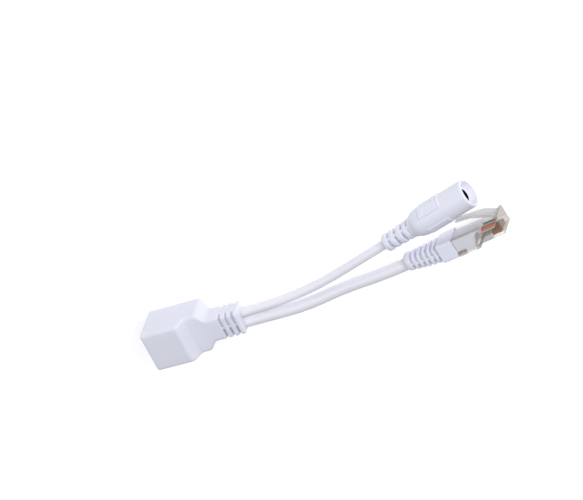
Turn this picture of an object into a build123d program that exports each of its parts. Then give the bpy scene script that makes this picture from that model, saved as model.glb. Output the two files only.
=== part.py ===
from build123d import *
import math
import os

# A passive power injector lead for Ethernet: a moulded socket housing, from which a data cable
# runs to an 8-way modular plug and a power cable runs to a round DC jack.
#
# Frame, in millimetres: the origin is under the socket housing, 20.5 from its mouth. +X runs from
# the mouth towards the plug and the jack, and +Z is up. Everything lies on Z = 0.

# ---- Socket housing
HOUSING_LENGTH = 41.6
HOUSING_SIDE = 18.7
HALF_SIDE = HOUSING_SIDE / 2
SOCKET_END = -20.5
NECK_END = SOCKET_END + HOUSING_LENGTH
TOP_FLAT_END = -3.4
TOP_CHAMFER_END = -1.0
SIDE_FLAT_END = 3.6
SIDE_NECK_START = 6.6
BELLY_FLAT_END = 3.6
BELLY_NECK_START = 7.6
NECK_HALF_WIDTH = 5.6
NECK_LOW = 4.1
NECK_HIGH = 13.7
NECK_MIDDLE = (NECK_LOW + NECK_HIGH) / 2
HOUSING_CORNER = 1.2
NECK_GROOVE_START = 12.3
NECK_GROOVE_PITCH = 2.9
NECK_GROOVE_WIDTH = 1.05
NECK_GROOVE_COUNT = 3
NECK_RIB_WIDTH = 1.2
NECK_SIDE_RIB = (6.8, 11.4)
SLEEVE_WALL = 0.4

# ---- Cables
DATA_DIAMETER = 5.1
POWER_DIAMETER = 3.8
CORE_DIAMETER = 0.9
POWER_CORE_DIAMETER = 1.4
DATA_EXIT_Y = -2.35
POWER_EXIT_Y = 2.25
CABLE_CLEARANCE = 0.05

# ---- Modular socket
INSERT_WIDTH = 15.4
INSERT_LOW = 1.8
INSERT_HIGH = 16.8
INSERT_DEPTH = 14.0
CAVITY_WIDTH = 11.9
CAVITY_LOW = 6.2
CAVITY_HIGH = 13.1
CAVITY_DEPTH = 12.0
CONTACT_PITCH = 1.02
CONTACT_COUNT = 8
WIRE = 0.4
SPRING_ROOT = (-18.0, 12.5)
SPRING_TIP = (-9.6, 10.2)
CARRIER_GAP = 0.1

# ---- Plug end. Its own frame starts at the boot's rear: +X to the nose, +Y to the latch.
PLUG_ORIGIN = (95.4, 3.11, 6.5)
PLUG_YAW = 9.4
PLUG_ROLL = -6.3
BOOT_LENGTH = 22.8
BOOT_RINGS_END = 15.8
BOOT_REAR_SIZE = (7.0, 7.6)
BOOT_SLOT_START = 2.5
BOOT_SLOT_PITCH = 2.43
BOOT_SLOT_WIDTH = 1.0
BOOT_SLOT_COUNT = 6
BOOT_RIB_WIDTH = 1.6
PLUG_WIDTH = 11.68
PLUG_LENGTH = 21.46
PLUG_HEIGHT = 7.9
PLUG_NOSE_HEIGHT = 6.4
PLUG_STEP = 9.7
PLUG_REAR = BOOT_LENGTH
NOSE = BOOT_LENGTH + PLUG_LENGTH
LATCH_FACE = PLUG_HEIGHT / 2
CONTACT_FACE = LATCH_FACE - PLUG_NOSE_HEIGHT
CORE_HEIGHT = -0.35
LATCH_PIVOT = (NOSE - 1.5, LATCH_FACE + 0.75)
LATCH_REST_ANGLE = 10.0
LATCH_THICKNESS = 0.8
LATCH_WIDE = 6.0
LATCH_NARROW = 3.25
LATCH_LENGTH = 18.6
LATCH_SHOULDER = 6.0

# ---- Jack end. Its own frame starts at the strain relief's rear: +X to the mouth.
JACK_ORIGIN = (90.4, 14.2, 5.95)
JACK_YAW = 17.1
JACK_LENGTH = 42.1
JACK_RADIUS = 5.95
JACK_RELIEF_RADIUS = 3.8
JACK_RING_PITCH = 3.5
JACK_RING_WIDTH = 2.1
JACK_RING_COUNT = 3
JACK_RIB_ANGLE = 41.0
JACK_FLOOR = JACK_LENGTH - 2.4
JACK_RECESS_RADIUS = 4.5
JACK_HOLE_RADIUS = 2.85
JACK_HOLE_DEPTH = 9.5
JACK_PIN_RADIUS = 1.05
JACK_PIN_TAIL_RADIUS = 0.75
JACK_INSERT_RADIUS = 4.3
JACK_INSERT_REAR = 23.6
PAD_ANGLES = (98.5, 278.5)
PAD_HALF_ANGLE = 62.5
PAD_RANGE = (20.4, 31.0)
PAD_PROUD = 0.3

# ---- Cable routes, from the housing to the plug's boot and to the jack's strain relief
DATA_ROUTE = [
    (NECK_END, DATA_EXIT_Y, NECK_MIDDLE),
    (31.5, DATA_EXIT_Y, NECK_MIDDLE),
    (48.0, -3.2, 7.2),
    (66.0, -0.4, 5.9),
    (83.56, 1.15, 6.5),
    PLUG_ORIGIN,
]
POWER_ROUTE = [
    (NECK_END, POWER_EXIT_Y, NECK_MIDDLE),
    (30.5, POWER_EXIT_Y, NECK_MIDDLE),
    (44.5, 2.4, 7.2),
    (60.5, 4.9, 5.9),
    (79.89, 10.97, 5.95),
    JACK_ORIGIN,
]

PLUG_PLACE = Pos(*PLUG_ORIGIN) * Rot(0, 0, PLUG_YAW) * Rot(PLUG_ROLL, 0, 0)
JACK_PLACE = Pos(*JACK_ORIGIN) * Rot(0, 0, JACK_YAW)


def block(x, y, z):
    """A box between two values on each axis."""
    size = [limits[1] - limits[0] for limits in (x, y, z)]
    middle = [(limits[1] + limits[0]) / 2 for limits in (x, y, z)]
    return Pos(*middle) * Box(*size)


def rod(x0, x1, radius, y=0.0, z=0.0):
    """A cylinder along X."""
    return Pos((x0 + x1) / 2, y, z) * Rot(0, 90, 0) * Cylinder(radius, x1 - x0)


def spread(value):
    """Limits the same distance each side of zero."""
    return (-value, value)


def joined(pieces):
    """One shape from a list of pieces."""
    whole = pieces[0]
    for piece in pieces[1:]:
        whole = whole + piece
    return whole


def pin_offset(pin):
    """Distance of a contact, numbered from 1, from the middle of the row."""
    return (pin - (CONTACT_COUNT + 1) / 2) * CONTACT_PITCH


def rounded_bar(x0, x1, width, height, corner, z=0.0):
    """A bar along X with rounded long edges."""
    outline = Plane((x0, 0, z), x_dir=(0, 1, 0), z_dir=(1, 0, 0)) * RectangleRounded(width, height, corner)
    return extrude(outline, x1 - x0)


# ---- Socket housing

def housing_outline():
    """The solid outside of the housing and its neck."""
    plan = Polyline(
        (SOCKET_END, -HALF_SIDE),
        (SIDE_FLAT_END, -HALF_SIDE),
        (SIDE_NECK_START, -NECK_HALF_WIDTH),
        (NECK_END, -NECK_HALF_WIDTH),
        (NECK_END, NECK_HALF_WIDTH),
        (SIDE_NECK_START, NECK_HALF_WIDTH),
        (SIDE_FLAT_END, HALF_SIDE),
        (SOCKET_END, HALF_SIDE),
        close=True,
    )
    plan_face = make_face(plan)
    neck_vertices = [v for v in plan_face.vertices() if abs(v.X - SIDE_NECK_START) < 0.01]
    plan_face = fillet(neck_vertices, 2.0)
    shoulder_vertices = [v for v in plan_face.vertices() if abs(v.X - SIDE_FLAT_END) < 0.01]
    plan_face = fillet(shoulder_vertices, 1.0)
    side = Polyline(
        (SOCKET_END, 0),
        (BELLY_FLAT_END, 0),
        (BELLY_NECK_START, NECK_LOW),
        (NECK_END, NECK_LOW),
        (NECK_END, NECK_HIGH),
        (TOP_CHAMFER_END, NECK_HIGH),
        (TOP_FLAT_END, HOUSING_SIDE),
        (SOCKET_END, HOUSING_SIDE),
        close=True,
    )
    side_face = Plane.XZ * make_face(side)
    body = extrude(plan_face, HOUSING_SIDE) & extrude(side_face, HALF_SIDE, both=True)
    return body & rounded_bar(
        SOCKET_END, NECK_END, HOUSING_SIDE, HOUSING_SIDE, HOUSING_CORNER, z=HALF_SIDE
    )


def neck_grooves():
    """The flex grooves: each is four windows round the corners, with a rib at each face's middle."""
    sleeve = joined([
        rod(0, NECK_END, DATA_DIAMETER / 2 + SLEEVE_WALL, DATA_EXIT_Y, NECK_MIDDLE),
        rod(0, NECK_END, POWER_DIAMETER / 2 + SLEEVE_WALL, POWER_EXIT_Y, NECK_MIDDLE),
    ])
    rib = NECK_RIB_WIDTH / 2
    grooves = []
    for index in range(NECK_GROOVE_COUNT):
        start = NECK_GROOVE_START + index * NECK_GROOVE_PITCH
        x = (start, start + NECK_GROOVE_WIDTH)
        ring = block(x, spread(HALF_SIDE), (0, HOUSING_SIDE))
        ring = ring - block(x, spread(rib), (0, HOUSING_SIDE))
        ring = ring - block(x, spread(HALF_SIDE), NECK_SIDE_RIB)
        grooves.append(ring - sleeve)
    return grooves


def socket_overmould():
    body = housing_outline()
    for groove in neck_grooves():
        body = body - groove
    body = body - insert_block()
    body = body - mould_block()
    body = body - cable_bore(DATA_DIAMETER, DATA_EXIT_Y)
    return body - cable_bore(POWER_DIAMETER, POWER_EXIT_Y)


def cable_bore(diameter, y):
    """The hole that a cable's held end fills, from the inner mould to the neck's end."""
    return rod(MOULD_FRONT - 1.0, NECK_END + 1.0, diameter / 2 + CABLE_CLEARANCE, y, NECK_MIDDLE)


# ---- Modular socket insert and contacts

INSERT_REAR = SOCKET_END + INSERT_DEPTH
CARRIER_X = (SOCKET_END + 1.6, INSERT_REAR)
CARRIER_HALF_WIDTH = 5.0
CARRIER_TOP = 15.6
TERMINAL_TOP = 14.4
TERMINAL_DROP_X = -8.0
TAIL_HEIGHT = 10.0
TAIL_END = -3.9


def insert_block():
    return block((SOCKET_END, INSERT_REAR), spread(INSERT_WIDTH / 2), (INSERT_LOW, INSERT_HIGH))


def socket_insert():
    """The insulator: a plug cavity with a stepped latch slot below it and a contact bay above."""
    mouth = SOCKET_END - 1.0
    body = insert_block()
    body = body - block((mouth, SOCKET_END + CAVITY_DEPTH), spread(CAVITY_WIDTH / 2), (CAVITY_LOW, CAVITY_HIGH))
    body = body - block((mouth, SOCKET_END + CAVITY_DEPTH), spread(3.3), (5.3, CAVITY_LOW))
    body = body - block((SOCKET_END + 1.7, SOCKET_END + CAVITY_DEPTH), spread(3.3), (4.5, CAVITY_LOW))
    body = body - block((mouth, SOCKET_END + 8.0), spread(1.9), (3.3, CAVITY_LOW))
    bay = block(
        (CARRIER_X[0] - CARRIER_GAP, INSERT_REAR + 1.0),
        spread(CARRIER_HALF_WIDTH + CARRIER_GAP),
        (CAVITY_HIGH, CARRIER_TOP + CARRIER_GAP),
    )
    rear_bay = block(
        (TERMINAL_DROP_X - 0.4, INSERT_REAR + 1.0),
        spread(CARRIER_HALF_WIDTH + CARRIER_GAP),
        (TAIL_HEIGHT - 0.8, CAVITY_HIGH),
    )
    return body - bay - rear_bay


def contact_carrier():
    """The moulded bar that holds the eight terminals above the plug cavity."""
    body = block(CARRIER_X, spread(CARRIER_HALF_WIDTH), (CAVITY_HIGH, CARRIER_TOP))
    body = body - block(
        (TERMINAL_DROP_X - 0.4, INSERT_REAR + 1.0), spread(CARRIER_HALF_WIDTH + 1), (0, TERMINAL_TOP + CARRIER_GAP)
    )
    for pin in range(1, CONTACT_COUNT + 1):
        y = pin_offset(pin)
        width = WIRE / 2 + CARRIER_GAP
        body = body - block(
            (SOCKET_END + 2.2, INSERT_REAR + 1.0),
            (y - width, y + width),
            (TERMINAL_TOP - WIRE - CARRIER_GAP, TERMINAL_TOP + CARRIER_GAP),
        )
    return body


def contact_terminals():
    """Eight bent terminals: along the carrier, down behind the cavity and out to the solder."""
    terminals = []
    for pin in range(1, CONTACT_COUNT + 1):
        y = (pin_offset(pin) - WIRE / 2, pin_offset(pin) + WIRE / 2)
        top = block((SOCKET_END + 2.5, TERMINAL_DROP_X + WIRE), y, (TERMINAL_TOP - WIRE, TERMINAL_TOP))
        drop = block((TERMINAL_DROP_X, TERMINAL_DROP_X + WIRE), y, (TAIL_HEIGHT - WIRE / 2, TERMINAL_TOP))
        tail = block((TERMINAL_DROP_X, TAIL_END), y, (TAIL_HEIGHT - WIRE / 2, TAIL_HEIGHT + WIRE / 2))
        terminals.append(top + drop + tail)
    return Compound(children=terminals)


def socket_contacts():
    """Eight spring wires that slope from the mouth down into the plug cavity."""
    run = (SPRING_TIP[0] - SPRING_ROOT[0], SPRING_TIP[1] - SPRING_ROOT[1])
    length = math.hypot(*run)
    slope = math.degrees(math.atan2(-run[1], run[0]))
    springs = []
    for pin in range(1, CONTACT_COUNT + 1):
        spring = block((0, length), spread(WIRE / 2), spread(WIRE / 2))
        springs.append(Pos(SPRING_ROOT[0], pin_offset(pin), SPRING_ROOT[1]) * Rot(0, slope, 0) * spring)
    return Compound(children=springs)


# ---- Inner mould, solder joints and cores behind the socket

MOULD_REAR = INSERT_REAR
MOULD_FRONT = 4.6
MOULD_HALF_WIDTH = 6.4
MOULD_LOW = 5.2
MOULD_HIGH = 12.6
MOULD_WALL = 1.0
CORE_START = 1.6
POWER_CORE_PINS = {"positive": (4, 5), "negative": (7, 8)}
CORE_PINS = {"orange_white": 1, "orange": 2, "green_white": 3, "green": 6}


def mould_block():
    return block((MOULD_REAR, MOULD_FRONT), spread(MOULD_HALF_WIDTH), (MOULD_LOW, MOULD_HIGH))


def inner_mould():
    """The inner mould: a cup over the soldered terminals, bored for the two cables."""
    wall = MOULD_WALL
    body = mould_block()
    body = body - block(
        (MOULD_REAR - 1, MOULD_FRONT - 2.6),
        spread(MOULD_HALF_WIDTH - wall),
        (MOULD_LOW + wall, MOULD_HIGH - wall),
    )
    for diameter, y in ((DATA_DIAMETER, DATA_EXIT_Y), (POWER_DIAMETER, POWER_EXIT_Y)):
        body = body - rod(0, MOULD_FRONT + 1, diameter / 2 + CABLE_CLEARANCE, y, NECK_MIDDLE)
    return body


def held_cable(diameter, y):
    """The straight end of a cable's jacket, from inside the mould to the neck's end."""
    return rod(CORE_START + 0.6, NECK_END, diameter / 2, y, NECK_MIDDLE)


def path_tube(points, diameter, radius):
    """A round wire along a few points with bends of one radius."""
    path = FilletPolyline(*points, radius=radius)
    start = Plane(origin=points[0], z_dir=path % 0)
    return sweep(start * Circle(diameter / 2), path=path)


SOLDER_X = (TAIL_END - 1.2, TAIL_END + 0.5)
DATA_BEAD_TOP = TAIL_HEIGHT + 0.6
POWER_BEAD_TOP = TAIL_HEIGHT + 1.5
POWER_CORE_HEIGHT = TAIL_HEIGHT + 0.95


def solder_joint(pins, top):
    """One solder bead on one terminal, or across two neighbours."""
    low = pin_offset(min(pins)) - 0.4
    high = pin_offset(max(pins)) + 0.4
    bead = block(SOLDER_X, (low, high), (TAIL_HEIGHT - 0.6, top))
    for pin in pins:
        y = (pin_offset(pin) - WIRE / 2, pin_offset(pin) + WIRE / 2)
        bead = bead - block((SOLDER_X[0], TAIL_END), y, (TAIL_HEIGHT - WIRE / 2, TAIL_HEIGHT + WIRE / 2))
    return bead


def solder_joints():
    beads = [solder_joint((pin,), DATA_BEAD_TOP) for pin in CORE_PINS.values()]
    beads += [solder_joint(pins, POWER_BEAD_TOP) for pins in POWER_CORE_PINS.values()]
    return Compound(children=beads)


def socket_core(pin, start_y, start_z, end_z):
    """One insulated core, from its cable's end to its solder bead."""
    bead_y = pin_offset(pin)
    points = [
        (CORE_START + 0.6, start_y, start_z),
        (CORE_START - 0.9, start_y, start_z),
        (SOLDER_X[1] + 1.6, bead_y, end_z),
        (SOLDER_X[1], bead_y, end_z),
    ]
    return path_tube(points, CORE_DIAMETER, 0.5)


# ---- Cables

def bend_radii(points):
    """The largest even arcs that each corner's two runs allow."""
    radii = []
    for before, corner, after in zip(points, points[1:], points[2:]):
        first = Vector(*corner) - Vector(*before)
        second = Vector(*after) - Vector(*corner)
        turn = math.radians(first.get_angle(second))
        radii.append(0.45 * min(first.length, second.length) / math.tan(turn / 2))
    return radii


def cable_tube(name, points, diameter):
    """A cable's free stretch: straight runs joined by tangent arcs."""
    radii = bend_radii(points)
    path = FilletPolyline(*points, radius=radii)
    tube = sweep(Plane(origin=points[0], z_dir=path % 0) * Circle(diameter / 2), path=path)
    expected = math.pi * diameter ** 2 / 4 * path.length
    print(name, "length", round(path.length, 2), "radii", [round(r, 1) for r in radii])
    print(name, "volume", round(tube.volume, 1), "expected", round(expected, 1))
    return tube


# ---- Plug end, in its own frame

def boot_section(x, size_y, size_z, corner):
    return Plane((x, 0, 0), x_dir=(0, 1, 0), z_dir=(1, 0, 0)) * RectangleRounded(size_y, size_z, corner)


def plug_boot():
    """The moulded boot: a square block behind the plug and a tapered stack of flex rings."""
    rings = loft([
        boot_section(0, BOOT_REAR_SIZE[0], BOOT_REAR_SIZE[1], 2.8),
        boot_section(BOOT_RINGS_END, PLUG_HEIGHT, PLUG_WIDTH - 0.6, 2.4),
    ])
    body = rings + rounded_bar(BOOT_RINGS_END, BOOT_LENGTH, PLUG_HEIGHT, PLUG_WIDTH, 0.9)
    sleeve = rod(-1, BOOT_LENGTH, DATA_DIAMETER / 2 + SLEEVE_WALL)
    for index in range(BOOT_SLOT_COUNT):
        start = BOOT_SLOT_START + index * BOOT_SLOT_PITCH
        x = (start, start + BOOT_SLOT_WIDTH)
        ring = block(x, spread(8), spread(8)) - block(x, spread(BOOT_RIB_WIDTH / 2), spread(8))
        body = body - (ring - sleeve)
    return body - rod(-1, BOOT_LENGTH + 1, DATA_DIAMETER / 2 + CABLE_CLEARANCE)


PLUG_BAY_END = PLUG_REAR + 11.5
BAY_LOW = -3.3
BAY_HIGH = 3.1
BAY_HALF_WIDTH = 5.0
CORE_END = NOSE - 2.6
BLADE_X = (NOSE - 5.4, NOSE - 1.4)
BLADE_THICKNESS = 0.34
BLADE_OUTER = CONTACT_FACE + 0.45
BLADE_TIP = -0.1
WINDOW_X = (PLUG_REAR + 2.6, PLUG_REAR + 8.8)
WINDOW_HALF_WIDTH = 3.0
TONGUE_START = PLUG_REAR + 5.7


def plug_shell():
    """The clear plug body, with the latch's root ridge at its nose."""
    half = PLUG_WIDTH / 2
    body = block((PLUG_REAR, NOSE), spread(LATCH_FACE), spread(half))
    step_x = PLUG_REAR + PLUG_STEP
    body = body - block((step_x, NOSE + 1), (-LATCH_FACE - 1, CONTACT_FACE), spread(half + 1))
    body = body + block((NOSE - 1.0, NOSE), (LATCH_FACE - 0.5, LATCH_FACE + 0.65), spread(half))
    body = body - block((PLUG_REAR - 1, PLUG_BAY_END), (BAY_LOW, BAY_HIGH), spread(BAY_HALF_WIDTH))
    body = body - block((PLUG_BAY_END - 1, CORE_END + 0.1), (CORE_HEIGHT - 0.55, CORE_HEIGHT + 0.55), spread(4.2))
    body = body - block(WINDOW_X, (-LATCH_FACE - 1, BAY_LOW + 1), spread(WINDOW_HALF_WIDTH))
    for pin in range(1, CONTACT_COUNT + 1):
        z = -pin_offset(pin)
        slot_half = BLADE_THICKNESS / 2 + 0.05
        slot = block(
            (BLADE_X[0] - 0.05, BLADE_X[1] + 0.05), (CONTACT_FACE - 1, BLADE_TIP + 0.05), (z - slot_half, z + slot_half)
        )
        nose_slot = block((BLADE_X[1], NOSE + 1), (CONTACT_FACE - 1, CONTACT_FACE + 0.9), (z - 0.3, z + 0.3))
        body = body - slot - nose_slot
    return body


def plug_inner_mould():
    """The white fill in the plug's rear bay, with a pad in the strain relief window."""
    body = block((PLUG_REAR, PLUG_BAY_END - 0.6), (BAY_LOW, BAY_HIGH), spread(BAY_HALF_WIDTH))
    body = body + block((TONGUE_START, WINDOW_X[1]), (-LATCH_FACE + 0.2, BAY_LOW), spread(WINDOW_HALF_WIDTH))
    body = body - block((WINDOW_X[0], TONGUE_START), (BAY_LOW - 1, BAY_LOW + 1.4), spread(WINDOW_HALF_WIDTH))
    body = body - rod(PLUG_REAR - 1, CABLE_PLUG_END, DATA_DIAMETER / 2 + CABLE_CLEARANCE)
    channel = block((CABLE_PLUG_END - 0.1, PLUG_BAY_END), (CORE_HEIGHT - 0.55, CORE_HEIGHT + 0.55), spread(4.2))
    fan = block((CABLE_PLUG_END - 0.1, CABLE_PLUG_END + 4.6), spread(2.1), spread(4.2))
    return body - channel - fan


CABLE_PLUG_END = PLUG_REAR + 5.0


def plug_cable_end():
    """The jacket's held end, through the boot and into the plug."""
    return rod(0, CABLE_PLUG_END, DATA_DIAMETER / 2)


def plug_blade(pin):
    z = -pin_offset(pin)
    return block(BLADE_X, (BLADE_OUTER, BLADE_TIP), (z - BLADE_THICKNESS / 2, z + BLADE_THICKNESS / 2))


def plug_contacts():
    """Eight gold blades, which pierce the cores from the contact side."""
    return Compound(children=[plug_blade(pin) for pin in range(1, CONTACT_COUNT + 1)])


def plug_core(pin, start_y, start_z):
    """One core, from the cable's end to the nose, notched where its blade pierces it."""
    z = -pin_offset(pin)
    points = [
        (CABLE_PLUG_END, start_y, start_z),
        (CABLE_PLUG_END + 0.8, start_y, start_z),
        (CABLE_PLUG_END + 4.6, CORE_HEIGHT, z),
        (CORE_END, CORE_HEIGHT, z),
    ]
    return path_tube(points, CORE_DIAMETER, 0.6) - plug_blade(pin)


def plug_latch():
    """The latch: a wide catch at the nose and a narrower thumb lever, sprung off the body."""
    half = LATCH_THICKNESS / 2
    catch = block((-LATCH_SHOULDER, 0), spread(half), spread(LATCH_WIDE / 2))
    lever = block((-LATCH_LENGTH, -LATCH_SHOULDER + 0.1), spread(half), spread(LATCH_NARROW / 2))
    tip = block((-LATCH_LENGTH, -LATCH_LENGTH + 1.2), (-half, half + 0.35), spread(LATCH_NARROW / 2))
    latch = catch + lever + tip
    return Pos(LATCH_PIVOT[0], LATCH_PIVOT[1], 0) * Rot(0, 0, -LATCH_REST_ANGLE) * latch


# ---- Jack end, in its own frame

JACK_CABLE_END = 11.0
JACK_BAY_RADIUS = 3.4
RELIEF_END = JACK_RING_COUNT * JACK_RING_PITCH + JACK_RING_WIDTH
SLEEVE_X = (JACK_FLOOR - 9.2, JACK_FLOOR - 0.8)
SLEEVE_OUTER = 3.2
PIN_BASE = JACK_FLOOR - JACK_HOLE_DEPTH
PIN_TIP = JACK_FLOOR - 1.2
TAIL_REAR = JACK_INSERT_REAR - 2.6
LEAF_PIVOT_X = SLEEVE_X[0] + 1.0
LEAF_PIVOT_Z = 3.0
LEAF_LENGTH = 6.0
LEAF_WIDTH = 1.5
LEAF_THICKNESS = 0.25
LEAF_SLOPE = 4.0
LEAF_WINDOW = (SLEEVE_X[0] + 0.5, SLEEVE_X[0] + 7.7)


def jack_outline():
    """The outside of the jack: flex rings, a rounded shoulder and a slightly flared body."""
    relief = JACK_RELIEF_RADIUS
    crease = (13.8, 4.3)
    shoulder_end = (22.0, JACK_RADIUS - 0.05)
    profile_start = Polyline((0, 0), (0, relief - 0.5), (0.5, relief), (RELIEF_END, relief + 0.2), crease)
    shoulder = Spline(crease, (16.5, 5.3), shoulder_end, tangents=[(1, 0.6), (1, 0.01)])
    body = Line(shoulder_end, (JACK_LENGTH - 0.8, JACK_RADIUS))
    rim = Line((JACK_LENGTH - 0.8, JACK_RADIUS), (JACK_LENGTH, JACK_RADIUS - 0.7))
    close = Polyline((JACK_LENGTH, JACK_RADIUS - 0.7), (JACK_LENGTH, 0), (0, 0))
    face = make_face(profile_start.edges() + [shoulder.edge(), body.edge(), rim.edge()] + close.edges())
    return revolve(face, Axis.X)


def pad_section(inner, outer):
    """A ring sector in the plane at the pads' start, its middle on +Z."""
    half = math.radians(PAD_HALF_ANGLE)
    corners = [(r * math.sin(a), r * math.cos(a)) for r, a in (
        (inner, -half), (outer, -half), (outer, half), (inner, half))]
    edges = [
        Line(corners[0], corners[1]),
        ThreePointArc(corners[1], (0, outer), corners[2]),
        Line(corners[2], corners[3]),
        ThreePointArc(corners[3], (0, inner), corners[0]),
    ]
    plane = Plane((PAD_RANGE[0], 0, 0), x_dir=(0, 1, 0), z_dir=(1, 0, 0))
    return plane * make_face([edge.edge() for edge in edges])


def grip_pad(angle):
    """A raised pad with cross ribs, its middle at an angle from +Z towards +Y."""
    inner = JACK_RADIUS - 1.0
    outer = JACK_RADIUS + PAD_PROUD
    section = pad_section(inner, outer)
    return Rot(-angle, 0, 0) * extrude(section, PAD_RANGE[1] - PAD_RANGE[0])


def jack_overmould():
    body = jack_outline()
    for angle in PAD_ANGLES:
        body = body + grip_pad(angle)
    sleeve = rod(0, RELIEF_END, POWER_DIAMETER / 2 + SLEEVE_WALL)
    for index in range(JACK_RING_COUNT):
        start = JACK_RING_WIDTH + index * JACK_RING_PITCH
        x = (start, start + JACK_RING_PITCH - JACK_RING_WIDTH)
        ring = block(x, spread(6), spread(6)) - block(x, spread(0.8), spread(6))
        body = body - (Rot(-JACK_RIB_ANGLE, 0, 0) * ring - sleeve)
    body = body - rod(-1, JACK_CABLE_END + 0.5, POWER_DIAMETER / 2 + CABLE_CLEARANCE)
    body = body - rod(JACK_CABLE_END, JACK_INSERT_REAR + 0.1, JACK_BAY_RADIUS)
    body = body - rod(JACK_INSERT_REAR, JACK_FLOOR + 0.1, JACK_INSERT_RADIUS)
    return body - rod(JACK_FLOOR, JACK_LENGTH + 1, JACK_RECESS_RADIUS)


def jack_insert():
    """The insulator: a cup with the plug's hole, a bay for the sleeve and a slot for the leaf."""
    body = rod(JACK_INSERT_REAR, JACK_FLOOR, JACK_INSERT_RADIUS)
    body = body - rod(PIN_BASE, JACK_FLOOR + 1, JACK_HOLE_RADIUS)
    body = body - rod(SLEEVE_X[0], SLEEVE_X[1], SLEEVE_OUTER)
    body = body - block(LEAF_WINDOW, spread(LEAF_WIDTH / 2 + 0.45), (0, 4.0))
    body = body - rod(JACK_INSERT_REAR - 1, PIN_BASE + 1, JACK_PIN_TAIL_RADIUS)
    return body - block((JACK_INSERT_REAR - 1, SLEEVE_X[0] + 0.1), spread(0.8), (-3.2, -2.7))


def jack_sleeve_contact():
    """The outer contact: a tube lining the hole, with a window for the leaf and a solder tail."""
    body = rod(SLEEVE_X[0], SLEEVE_X[1], SLEEVE_OUTER) - rod(SLEEVE_X[0] - 1, SLEEVE_X[1] + 1, JACK_HOLE_RADIUS)
    body = body - block(LEAF_WINDOW, spread(LEAF_WIDTH / 2 + 0.45), (0, 4.0))
    return body + block((TAIL_REAR, SLEEVE_X[0] + 0.5), spread(0.8), (-3.15, -2.86))


def jack_spring_leaf():
    """The leaf that presses on the plug's sleeve, sloping into the hole."""
    leaf = block((0, LEAF_LENGTH), spread(LEAF_WIDTH / 2), spread(LEAF_THICKNESS / 2))
    return Pos(LEAF_PIVOT_X, 0, LEAF_PIVOT_Z) * Rot(0, LEAF_SLOPE, 0) * leaf


def jack_centre_pin():
    """The centre pin: a round-nosed free end in the hole, and a thinner tail to its solder."""
    tip = Pos(PIN_TIP - JACK_PIN_RADIUS, 0, 0) * Sphere(JACK_PIN_RADIUS)
    free_end = rod(PIN_BASE, PIN_TIP - JACK_PIN_RADIUS, JACK_PIN_RADIUS)
    return rod(TAIL_REAR, PIN_BASE, JACK_PIN_TAIL_RADIUS) + free_end + tip


def jack_solder_joints():
    """Two solder beads, on the pin's tail and on the sleeve's tail."""
    pin_bead = block((TAIL_REAR - 1.0, TAIL_REAR + 0.8), spread(1.0), (-0.7, 1.6))
    pin_bead = pin_bead - rod(TAIL_REAR, TAIL_REAR + 2, JACK_PIN_TAIL_RADIUS)
    sleeve_bead = block((TAIL_REAR - 1.0, TAIL_REAR + 0.8), spread(0.6), (-2.8, -1.4))
    return Compound(children=[pin_bead, sleeve_bead])


def jack_core(start_z, end_z):
    """One power core, from the cable's end to its solder bead."""
    end = TAIL_REAR - 1.0
    points = [
        (JACK_CABLE_END, 0, start_z),
        (JACK_CABLE_END + 2.0, 0, start_z),
        (end - 2.0, 0, end_z),
        (end, 0, end_z),
    ]
    return path_tube(points, POWER_CORE_DIAMETER, 1.5)


# ---- The whole lead

def all_nodes():
    nodes = {
        "socket_overmould": socket_overmould(),
        "socket_insert": socket_insert(),
        "contact_carrier": contact_carrier(),
        "contact_terminals": contact_terminals(),
        "socket_contacts": socket_contacts(),
        "inner_mould": inner_mould(),
        "solder_joints": solder_joints(),
        "data_cable_held_end": held_cable(DATA_DIAMETER, DATA_EXIT_Y),
        "power_cable_held_end": held_cable(POWER_DIAMETER, POWER_EXIT_Y),
    }
    core_starts = [(DATA_EXIT_Y + dy, NECK_MIDDLE + dz) for dy, dz in (
        (-1.2, 0.5), (-0.2, 1.3), (0.9, 0.7), (0.5, -1.2))]
    for (colour, pin), (y, z) in zip(CORE_PINS.items(), core_starts):
        nodes["socket_core_" + colour] = socket_core(pin, y, z, TAIL_HEIGHT)
    for (pole, pins), (dy, dz) in zip(POWER_CORE_PINS.items(), ((-0.5, 0.8), (0.9, 0.2))):
        pin = sum(pins) / len(pins)
        nodes["socket_core_" + pole] = socket_core(
            pin, POWER_EXIT_Y + dy, NECK_MIDDLE + dz, POWER_CORE_HEIGHT
        )
    nodes["data_cable"] = cable_tube("data_cable", DATA_ROUTE, DATA_DIAMETER)
    nodes["power_cable"] = cable_tube("power_cable", POWER_ROUTE, POWER_DIAMETER)
    plug = {
        "plug_boot": plug_boot(),
        "plug_cable_end": plug_cable_end(),
        "plug_inner_mould": plug_inner_mould(),
        "plug_shell": plug_shell(),
        "plug_contacts": plug_contacts(),
        "plug_latch": plug_latch(),
    }
    plug_starts = ((0.0, 1.6), (1.2, 0.5), (-1.2, 0.4), (0.0, -1.4))
    for (colour, pin), (y, z) in zip(CORE_PINS.items(), plug_starts):
        plug["plug_core_" + colour] = plug_core(pin, y, z)
    jack = {
        "jack_overmould": jack_overmould(),
        "jack_cable_end": rod(0, JACK_CABLE_END, POWER_DIAMETER / 2),
        "jack_insert": jack_insert(),
        "jack_sleeve_contact": jack_sleeve_contact(),
        "jack_spring_leaf": jack_spring_leaf(),
        "jack_centre_pin": jack_centre_pin(),
        "jack_solder_joints": jack_solder_joints(),
        "jack_core_positive": jack_core(0.8, 0.85),
        "jack_core_negative": jack_core(-0.8, -2.1),
    }
    for name, shape in plug.items():
        nodes[name] = PLUG_PLACE * shape
    for name, shape in jack.items():
        nodes[name] = JACK_PLACE * shape
    return nodes


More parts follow.
